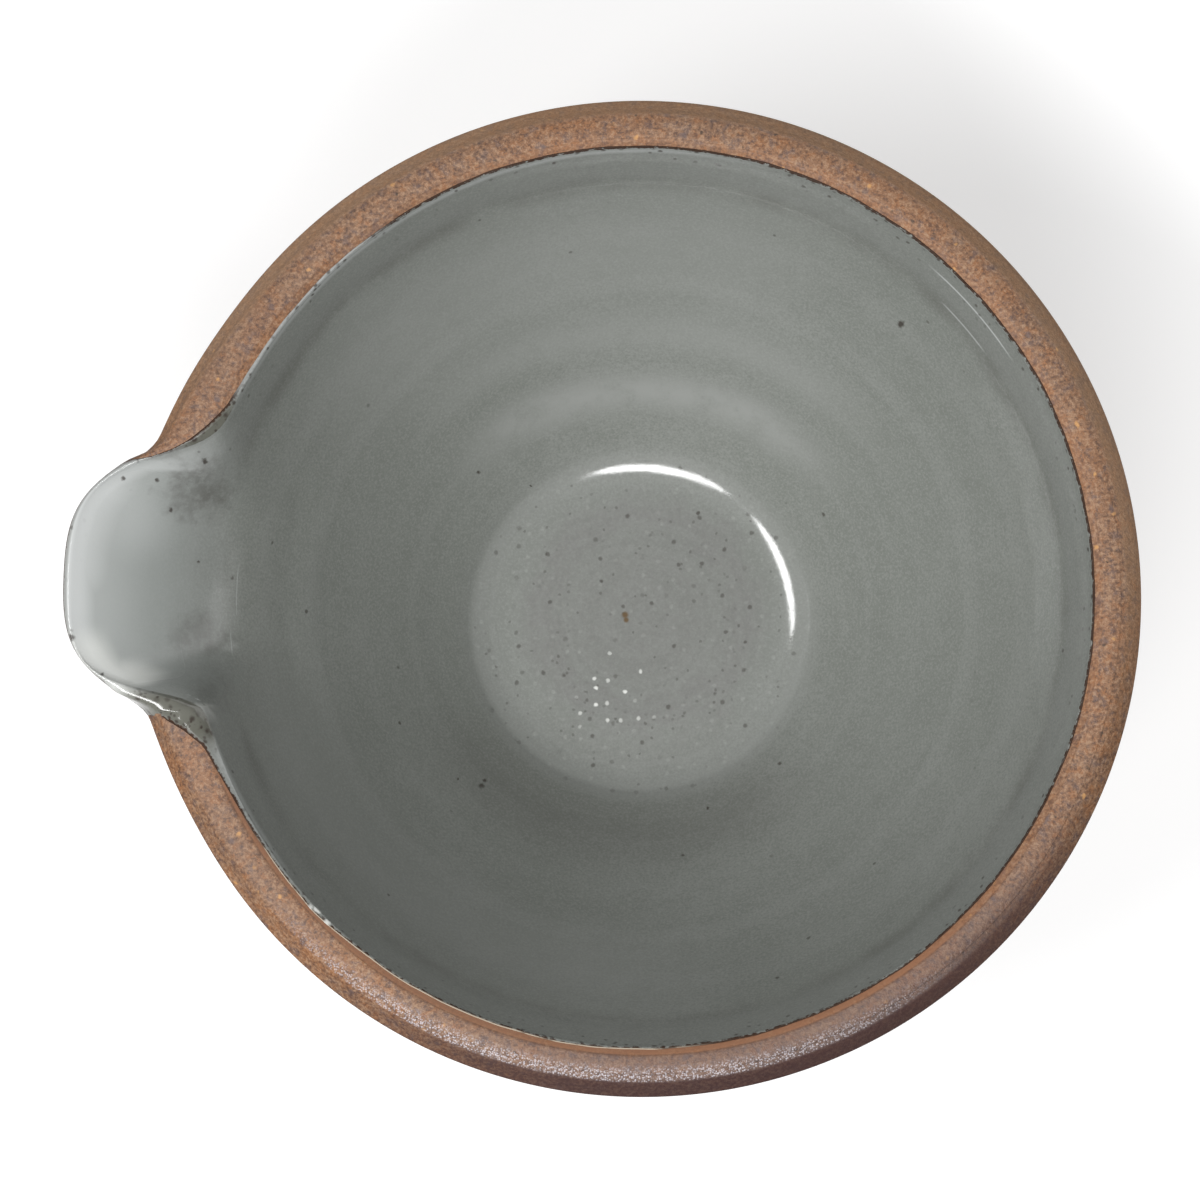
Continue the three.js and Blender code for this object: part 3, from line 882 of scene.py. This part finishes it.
def shade_well(glaze, colours):
    """The pooled glaze of the well: painted shade at its front, a pale brim, wheel marks and a mauve ring
    and middle.
    """
    # Painted shade in the well's front.
    glaze.paint(
        colours.iron_and_painted_shade, glaze.band(glaze.well_radius, 20.5 * MM, 4.5 * MM), glaze.towards(-85, 60, 25), 0.13)
    glaze.paint(colours.glaze_pale_and_painted_light, glaze.in_well, 0.22)
    from_middle = glaze.math("ADD", glaze.distance_from(0.5 * MM, 1.0 * MM), glaze.uneven)
    ring = glaze.math("MULTIPLY", glaze.band(from_middle, 15.5 * MM, 6 * MM), 0.38)
    middle = glaze.larger(glaze.span(from_middle, 19 * MM, 8 * MM, 0.0, 0.30), ring)
    glaze.paint(colours.mauve, middle, glaze.span(glaze.soft, 0.35, 0.6, 0.6, 1.0))
    uneven_radius = glaze.math("ADD", glaze.wavy_radius, glaze.math("MULTIPLY", glaze.mottle, 3 * MM))
    wheel_marks = glaze.bands(uneven_radius, 520, 3)
    glaze.paint(colours.glaze_pale_and_painted_light, glaze.span(wheel_marks, 0.45, 0.65), glaze.in_well, 0.13)
    glaze.paint(colours.glaze_pale_and_painted_light, glaze.band(glaze.well_radius, 26.3 * MM, 2.6 * MM), 0.3)


def shade_rim_groove(glaze, colours):
    """Duller glaze near the rim and darker glaze in the groove below it."""
    glaze.paint(colours.glaze_dull, glaze.attribute("thin_share"), glaze.beside_lip, 0.2)
    depth = glaze.span(glaze.noise(90, 2), 0.3, 0.7, 0.05, 0.30)
    glaze.paint(colours.iron_and_painted_shade, glaze.attribute("groove_share"), glaze.beside_lip, depth)


def shade_lip(glaze, colours):
    """The pale lip, paler towards its edge, painted light along the throat's front edge, and the speckled
    shoulders beside it.
    """
    edge = glaze.edge
    glaze.paint(colours.glaze_lip, glaze.lip, 0.85)
    tip_pale = glaze.larger(
        glaze.span(edge, 7.8 * MM, 5.2 * MM), glaze.span(edge, 12.5 * MM, 5.4 * MM, 0.0, 0.38))
    back_pale = glaze.both(glaze.span(edge, 9.4 * MM, 5.4 * MM), glaze.towards(175.5, 9, 3.5), 0.8)
    glaze.paint(colours.lip_edge_and_painted_highlight, glaze.larger(tip_pale, back_pale), glaze.lip)
    glaze.paint(colours.lip_edge_and_painted_highlight, glaze.spot(-76.1, 7.7, 7.0, 0.5), 0.22)
    # Painted light along the throat's front edge, in the flecks' colour.
    lit_front_side = glaze.both(glaze.span(edge, 8.0 * MM, 6.2 * MM), glaze.towards(-168, 7.2, 3.2))
    lit_front_corner = glaze.both(glaze.span(edge, 10.5 * MM, 7.0 * MM), glaze.towards(-167, 4.5, 2))
    glaze.paint(colours.fleck_and_painted_light, glaze.larger(lit_front_side, lit_front_corner), 0.55)
    glaze.paint(colours.glaze_thin, glaze.shoulder, 0.9)
    glaze.paint(colours.glaze_thin, glaze.span(edge, 3.0 * MM, 1.8 * MM), glaze.on_tip, 0.45)


def paint_edge_highlights(glaze, colours):
    """Painted highlights where the glaze rolls over beside its edge, at the front left and at the back."""
    edge = glaze.edge
    front_highlight = glaze.both(glaze.band(edge, 1.4 * MM, 1.4 * MM), glaze.towards(-154, 18, 9), 0.40)
    back_highlight = glaze.both(glaze.band(edge, 1.1 * MM, 1.0 * MM), glaze.towards(118, 46, 24), 0.42)
    border_highlight = glaze.both(glaze.span(edge, 0.9 * MM, 0.3 * MM), glaze.pale_border, 0.50)
    edge_highlight = glaze.larger(glaze.larger(front_highlight, back_highlight), border_highlight)
    glaze.paint(colours.lip_edge_and_painted_highlight, edge_highlight, glaze.off_shoulder)


def stain_shade_and_highlight_lines(glaze, colours):
    # Iron stains, darkened further by painted shade in the throat's corners.
    for x, y, size, share in THROAT_STAINS_AND_SHADE:
        from_stain_and_shade = glaze.math("ADD", glaze.distance_from(x * MM, y * MM), glaze.uneven)
        stain_and_shade = glaze.span(from_stain_and_shade, size * MM, 0.1 * size * MM, 0.0, share)
        glaze.paint(colours.iron_and_painted_shade, stain_and_shade, glaze.span(glaze.soft, 0.35, 0.55, 0.6, 1.0))
    # Thin pale lines painted as highlights on the wall.
    for direction, reach, half_angle, share in PAINTED_HIGHLIGHT_LINES:
        line = glaze.band(glaze.radius, reach * MM, 0.13 * MM)
        along = glaze.towards(direction, half_angle, half_angle / 2)
        glaze.paint(colours.lip_edge_and_painted_highlight, line, along, share)


def speck_glaze(glaze, colours):
    """Iron specks by zone, single spots, white flecks and the rust spot."""
    ring_zone = glaze.band(glaze.distance_from(1.5 * MM, -2 * MM), 14.5 * MM, 3 * MM)
    near_edge = glaze.span(glaze.edge, 6.5 * MM, 0.8 * MM)
    on_edge = glaze.span(glaze.edge, 1.3 * MM, 0.6 * MM)
    # Cells to a metre, size in cells, share of the cells, flat or not, zone and strength.
    for scale, size, share, flat, zone, strength in (
        (250, 0.125, 0.55, True, glaze.in_well, 0.55),
        (560, 0.17, 0.22, True, glaze.in_well, 0.38),
        (640, 0.22, 0.55, True, ring_zone, 0.45),
        (200, 0.09, 0.60, False, glaze.beside_lip, 0.7),
        (560, 0.26, 0.85, False, near_edge, 0.85),
        (900, 0.45, 0.85, False, on_edge, 0.85),
        (1300, 0.45, 0.95, False, glaze.shoulder, 0.85),
        (650, 0.42, 0.85, False, glaze.shoulder, 0.9),
    ):
        glaze.paint(colours.iron_and_painted_shade, glaze.specks(scale, size, share, glaze.shifted, flat), zone, strength)
    spotty = glaze.ragged(1500, 0.6 * MM)
    for x, y, size in IRON_SPOTS:
        glaze.paint(colours.iron_and_painted_shade, glaze.spot(x, y, size, size * 0.3, spotty), 0.85)
    fleck_zone = glaze.span(glaze.distance_from(-4 * MM, -11 * MM), 10 * MM, 3 * MM, 0.07, 1.0)
    flecks = glaze.specks(430, 0.19, 0.55, glaze.shifted, flat=True)
    glaze.paint(colours.fleck_and_painted_light, flecks, fleck_zone, glaze.in_well)
    for x, y, size in RUST_DOTS:
        glaze.paint(colours.rust, glaze.spot(x, y, size, size * 0.3), 0.85)


def break_edge(glaze, colours):
    """The glaze breaks brown at its edge, cream and chipped at the front left."""
    nibbles = glaze.math("MULTIPLY", glaze.math("SUBTRACT", glaze.noise(1100, 3, 0.7), 0.5), 1.3 * MM)
    ragged_edge = glaze.math("ADD", glaze.edge, nibbles)
    brown_share = glaze.span(glaze.both(glaze.pale_border, glaze.off_shoulder), 0, 1, 0.95, 0.15)
    brown_line = glaze.both(glaze.span(ragged_edge, 0.42 * MM, 0.22 * MM), brown_share)
    tip_edge = glaze.both(glaze.span(ragged_edge, 1.4 * MM, 0.8 * MM), glaze.on_tip, 0.9)
    glaze.paint(colours.edge_brown, glaze.larger(brown_line, tip_edge))
    glaze.set("Specular IOR Level", glaze.span(brown_line, 0, 1, 0.5, 0.12))
    cream_line = glaze.span(glaze.edge, 0.26 * MM, 0.10 * MM)
    broken = glaze.span(glaze.mottle, 0.34, 0.50, 0.2, 1.0)
    glaze.paint(colours.cream, cream_line, glaze.towards(-114, 36, 26), glaze.beside_lip, broken)
    chips = glaze.specks(700, 0.55, 0.8, glaze.shifted)
    chip_edge = glaze.span(glaze.edge, 1.1 * MM, 0.6 * MM)
    glaze.paint(colours.fleck_and_painted_light, chips, glaze.spot(-46, -49.5, 3.4, 2.2), chip_edge)


def finish_glaze(glaze):
    """Gloss, duller at the edge and in the lip's worn trough, and a faintly uneven skin."""
    gloss = glaze.span(glaze.mottle, 0.3, 0.75, 0.08, 0.15)
    dull_edge = glaze.both(glaze.span(glaze.edge, 0.9 * MM, 0.3 * MM, 0.0, 0.6), glaze.beside_lip)
    in_trough = glaze.both(glaze.span(glaze.edge, 3.0 * MM, 6.0 * MM), glaze.lip, 0.42)
    glaze.set("Roughness", glaze.larger(gloss, glaze.larger(dull_edge, in_trough)))
    glaze.set("IOR", 1.52)
    waves = glaze.math("MULTIPLY", glaze.noise(120, 3, 0.5), 0.35)
    skin = glaze.math("ADD", waves, glaze.math("MULTIPLY", glaze.fine, 0.05))
    glaze.bump(skin, 0.35 * MM, 0.5)


def grey_glaze(colours):
    """Glossy grey-green glaze with clouding, iron specks and an edge that breaks brown or cream."""
    glaze = GlazeSurface(colours)
    for layer in (
        cloud_glaze, paint_wall_light_and_shade, shade_well, shade_rim_groove, shade_lip,
        paint_edge_highlights, stain_shade_and_highlight_lines, speck_glaze, break_edge,
    ):
        layer(glaze, colours)
    finish_glaze(glaze)
    glaze.set("Base Color", glaze.colour)
    return glaze.material


# Operators, one for each piece and one for the stage.
SPIN_STEPS = 480
THROWING_RING_PITCH = 3.4 * MM
THROWING_RING_HEIGHT = 0.10 * MM


class BOWL_OT_clay_body(bpy.types.Operator):
    """Spin the clay body from its section and pull its lip"""

    bl_idname = "bowl.clay_body"
    bl_label = "Clay Body"

    def execute(self, context):
        sizes = context.scene.bowl_sizes
        inside = inside_path(sizes, 26)
        rim = round_corners(rim_path(sizes), RIM_REACHES)
        outside = outside_path(sizes, 44)
        foot = resample(round_corners(foot_path(sizes), [0.7 * MM] * 6, 4), 2.5 * MM)
        section = np.vstack([inside[:-1], resample(rim, 0.35 * MM)[:-1], outside[:-1], foot])
        piece = spin_section("clay_body", section, SPIN_STEPS)
        station, angle = spun_angles(piece, section)
        start = len(inside) - 1
        distance = lengths_along(section)
        distance = distance - distance[start]
        points = place(section[station], angle)
        # Spiral throwing rings are pressed into the outside, clear of the rim and the foot.
        height = section[station, 1]
        outer_wall = (station > start + len(rim)) & (height > FOOT_HEIGHT * 1.4)
        turns = height / THROWING_RING_PITCH * 2 * math.pi
        ring = THROWING_RING_HEIGHT * (1 + np.sin(turns + angle)) * outer_wall
        points[:, 0] += np.cos(angle) * ring
        points[:, 1] += np.sin(angle) * ring
        set_points(piece, points)
        add_attribute(piece, "rim_distance", distance[station])
        add_attribute(piece, "lip_share", outside_share(angle))
        finish_piece(piece, fired_clay(context.scene.bowl_colours), "stoneware",
                     "floor", "wall", "rim", "pouring_lip", "foot_ring")
        return {"FINISHED"}


GROOVE_RADIUS = 64.0 * MM
GROOVE_WIDTH = 0.9 * MM
GROOVE_DEPTH = 0.14 * MM
WALL_RING_PITCH = 4.6 * MM
WALL_RING_HEIGHT = 0.006 * MM
EDGE_THICKNESS = 0.16 * MM
LIP_THICKNESS = 0.38 * MM
UNDERSIDE_LIFT = 0.12 * MM
SHOULDER_CROWN = 0.40 * MM
LAP_STATIONS = 20
LAP_WAVE = 0.35 * MM


def coat_path(clay, near_edge, groove_share, sizes):
    """The glaze's surface over the clay's inside path: thickest in the well, thinnest at the rim."""
    wall_share = smooth_step(clay[:, 1], WELL_EDGE_HEIGHT, WELL_EDGE_HEIGHT + 6 * MM)
    thickness = sizes.pool_thickness + (sizes.glaze_thickness - sizes.pool_thickness) * wall_share
    thickness = EDGE_THICKNESS + (thickness - EDGE_THICKNESS) * smooth_step(near_edge, 0, 5 * MM)
    turns = lengths_along(clay) / WALL_RING_PITCH * 2 * math.pi
    rings = WALL_RING_HEIGHT * np.sin(turns) * smooth_step(clay[:, 0], 30 * MM, 36 * MM)
    over = lift(clay, thickness - GROOVE_DEPTH * groove_share + rings)
    over[0, 0] = 0
    return over


def shoulder_share(degrees):
    """1 where the glaze lies over one of the lip's two shoulders."""
    front = smooth_step(degrees, 12.0, 14.0) * (1 - smooth_step(degrees, 19.5, 24))
    back = smooth_step(-degrees, 14.5, 16.5) * (1 - smooth_step(-degrees, 21, 25))
    return np.where(degrees > 0, front, back)


class BOWL_OT_glaze_coat(bpy.types.Operator):
    """Lay the glaze over the inside and out over the lip"""

    bl_idname = "bowl.glaze_coat"
    bl_label = "Glaze Coat"

    def execute(self, context):
        sizes = context.scene.bowl_sizes
        clay = inside_path(sizes, 96)
        rim = resample(round_corners(rim_path(sizes), RIM_REACHES), 0.1 * MM)
        rim_lengths = lengths_along(rim)
        along = lengths_along(clay)
        near_edge = along[-1] - along
        groove_share = np.exp(-(((clay[:, 0] - GROOVE_RADIUS) / GROOVE_WIDTH) ** 2))
        over = coat_path(clay, near_edge, groove_share, sizes)
        under = lift(clay, UNDERSIDE_LIFT)[::3]
        under[0, 0] = 0
        # The lap's stations are first drawn where no other station is, and placed once the angle is known.
        shares = np.linspace(0, 1, LAP_STATIONS + 1)[1:]
        drawn_lap = np.zeros((LAP_STATIONS, 5))
        drawn_lap[:, 0] = clay[-1, 0] + shares * 6 * MM
        drawn_lap[:, 1] = BOWL_HEIGHT + 10 * MM
        section = np.vstack([over, drawn_lap, under[::-1]])
        piece = spin_section("glaze_coat", section, SPIN_STEPS)
        station, angle = spun_angles(piece, section)
        degrees = np.degrees(angle)
        on_top = station < len(over)
        in_lap = (station >= len(over)) & (station < len(over) + LAP_STATIONS)
        on_wall = np.clip(station, 0, len(over) - 1)
        base = section[station].copy()
        cover = lip_cover(angle)
        # In the lip the coat lies on the trough at one thickness.
        above = smooth_step(clay[on_wall, 1], LIP_ROOT_HEIGHT, LIP_ROOT_HEIGHT + 5 * MM)
        level = cover * above * on_top
        base[:, 0] += (clay[on_wall, 0] - base[:, 0]) * level
        base[:, 1] += (clay[on_wall, 1] + LIP_THICKNESS - base[:, 1]) * level
        # The lap follows the rim as far as the glaze reaches, thins to its edge and is crowned on the
        # front shoulder.
        lap_length = glaze_reach(angle) + LAP_WAVE * (edge_wave(angle) - 0.5)
        lap_length = np.maximum(lap_length, SHORTEST_REACH)
        share = np.where(in_lap, shares[np.clip(station - len(over), 0, LAP_STATIONS - 1)], 0)
        reach = share * lap_length
        edge_thickness = EDGE_THICKNESS + (LIP_THICKNESS - EDGE_THICKNESS) * cover
        rise = edge_thickness * np.sqrt(np.clip(1 - share ** 2.2, 0, 1))
        crowned = smooth_step(degrees, 12.2, 14.6) * (1 - smooth_step(degrees, 17.2, 19.6))
        rise += SHOULDER_CROWN * crowned * 6.75 * share ** 2 * (1 - share)
        for column in range(base.shape[1]):
            on_rim = np.interp(reach, rim_lengths, rim[:, column])
            base[:, column] = np.where(in_lap, on_rim, base[:, column])
        base[:, 1] += np.where(in_lap, rise + 0.02 * MM, 0)
        base[:, 0] -= np.where(in_lap, rise * 0.45 * (1 - share) * (1 - cover), 0)
        set_points(piece, place(base, angle))
        on_coat = np.where(on_top, near_edge[on_wall] + lap_length, 1)
        lip_share = smooth_step(base[:, 1], 50 * MM, 64 * MM) * np.exp(-((angle / math.radians(15)) ** 4))
        near_rim = smooth_step(clay[on_wall, 0], GROOVE_RADIUS, GROOVE_RADIUS + 1.2 * MM)
        add_attribute(piece, "edge_distance", np.where(in_lap, lap_length - reach, on_coat))
        add_attribute(piece, "lip_share", lip_share)
        add_attribute(piece, "groove_share", groove_share[on_wall] * on_top)
        add_attribute(piece, "thin_share", near_rim)
        add_attribute(piece, "shoulder", shoulder_share(degrees) * in_lap)
        finish_piece(piece, grey_glaze(context.scene.bowl_colours), "glaze",
                     "well_glaze", "wall_glaze", "lip_glaze")
        return {"FINISHED"}


class BOWL_OT_stage(bpy.types.Operator):
    """Set the floor, the two soft boxes, the low window, the room light and the camera"""

    bl_idname = "bowl.stage"
    bl_label = "Stage"

    def execute(self, context):
        settings = context.scene.bowl_stage
        self.lay_floor(settings)
        self.hang_lamp("front_soft_box", settings.front_direction, settings.lamp_height,
                       settings.lamp_distance, settings.front_size, settings.front_power)
        self.hang_lamp("left_soft_box", settings.left_direction, settings.lamp_height,
                       settings.lamp_distance, settings.left_size, settings.left_power)
        self.hang_lamp("window", settings.window_direction, settings.window_height,
                       settings.lamp_distance, settings.window_size, settings.window_power)
        world = bpy.data.worlds.new("room")
        context.scene.world = world
        world.use_nodes = True
        world.node_tree.nodes["Background"].inputs["Color"].default_value = (1, 1, 1, 1)
        world.node_tree.nodes["Background"].inputs["Strength"].default_value = settings.sky
        self.set_camera(context, settings)
        context.scene.view_settings.view_transform = "Standard"
        return {"FINISHED"}

    def lay_floor(self, settings):
        deselect_all()
        bpy.ops.mesh.primitive_plane_add(size=6, location=(0, 0, 0))
        floor = bpy.context.object
        floor.name = "studio_floor"
        paper = Surface("white_paper")
        paper.set("Base Color", (settings.paper,) * 3)
        paper.set("Roughness", 1)
        paper.set("Specular IOR Level", 0)
        paper.set("Emission Color", (1, 1, 1))
        rays = paper.nodes.new("ShaderNodeLightPath")
        seen = paper.larger(rays.outputs["Is Camera Ray"], rays.outputs["Is Glossy Ray"])
        seen = paper.larger(seen, rays.outputs["Is Transmission Ray"])
        paper.set("Emission Strength", paper.math("MULTIPLY", seen, settings.paper_glow))
        floor.data.materials.append(paper.material)

    def hang_lamp(self, name, direction, height, distance, size, power):
        deselect_all()
        flat = Vector((math.cos(direction), math.sin(direction), 0)) * math.cos(height)
        spot = (flat + Vector((0, 0, math.sin(height)))) * distance
        bpy.ops.object.light_add(type="AREA", location=spot)
        lamp = bpy.context.object
        lamp.name = name
        lamp.data.shape = "ELLIPSE"
        lamp.data.size, lamp.data.size_y = size
        lamp.data.energy = power
        lamp.rotation_euler = spot.to_track_quat("Z", "Y").to_euler()

    def set_camera(self, context, settings):
        up = Vector((-math.sin(settings.camera_turn), math.cos(settings.camera_turn), 0))
        away = Vector((0, 0, 1)) * math.cos(settings.camera_tilt) - up * math.sin(settings.camera_tilt)
        right = up.cross(away).normalized()
        picture_up = away.cross(right)
        target = Vector((0, 0, BOWL_HEIGHT))
        target += right * settings.frame_offset[0] + picture_up * settings.frame_offset[1]
        bpy.ops.object.camera_add(location=target + away * settings.camera_distance)
        camera = bpy.context.object
        camera.name = "photo_camera"
        turn = Matrix((right, picture_up, away)).transposed()
        camera.rotation_euler = turn.to_euler()
        camera.data.sensor_width = 36
        camera.data.lens = 36 * settings.camera_distance / settings.frame_width
        camera.data.clip_start = 0.01
        context.scene.camera = camera


class BOWL_PT_panel(bpy.types.Panel):
    """Lists the bowl's sizes, colours and pieces"""

    bl_label = "Spouted Bowl"
    bl_idname = "BOWL_PT_panel"
    bl_space_type = "VIEW_3D"
    bl_region_type = "UI"
    bl_category = "Bowl"

    def draw(self, context):
        layout = self.layout
        for group in (context.scene.bowl_sizes, context.scene.bowl_colours, context.scene.bowl_stage):
            for name in group.__annotations__:
                layout.prop(group, name)
        for operator in (BOWL_OT_clay_body, BOWL_OT_glaze_coat, BOWL_OT_stage):
            layout.operator(operator.bl_idname)


CLASSES = (
    BowlSizes,
    BowlColours,
    StageSettings,
    BOWL_OT_clay_body,
    BOWL_OT_glaze_coat,
    BOWL_OT_stage,
    BOWL_PT_panel,
)


def register():
    for item in CLASSES:
        bpy.utils.register_class(item)
    bpy.types.Scene.bowl_sizes = bpy.props.PointerProperty(type=BowlSizes)
    bpy.types.Scene.bowl_colours = bpy.props.PointerProperty(type=BowlColours)
    bpy.types.Scene.bowl_stage = bpy.props.PointerProperty(type=StageSettings)


def unregister():
    del bpy.types.Scene.bowl_stage
    del bpy.types.Scene.bowl_colours
    del bpy.types.Scene.bowl_sizes
    for item in reversed(CLASSES):
        bpy.utils.unregister_class(item)


def main():
    register()
    bpy.ops.bowl.clay_body()
    bpy.ops.bowl.glaze_coat()
    bpy.ops.bowl.stage()


if __name__ == "__main__":
    main()
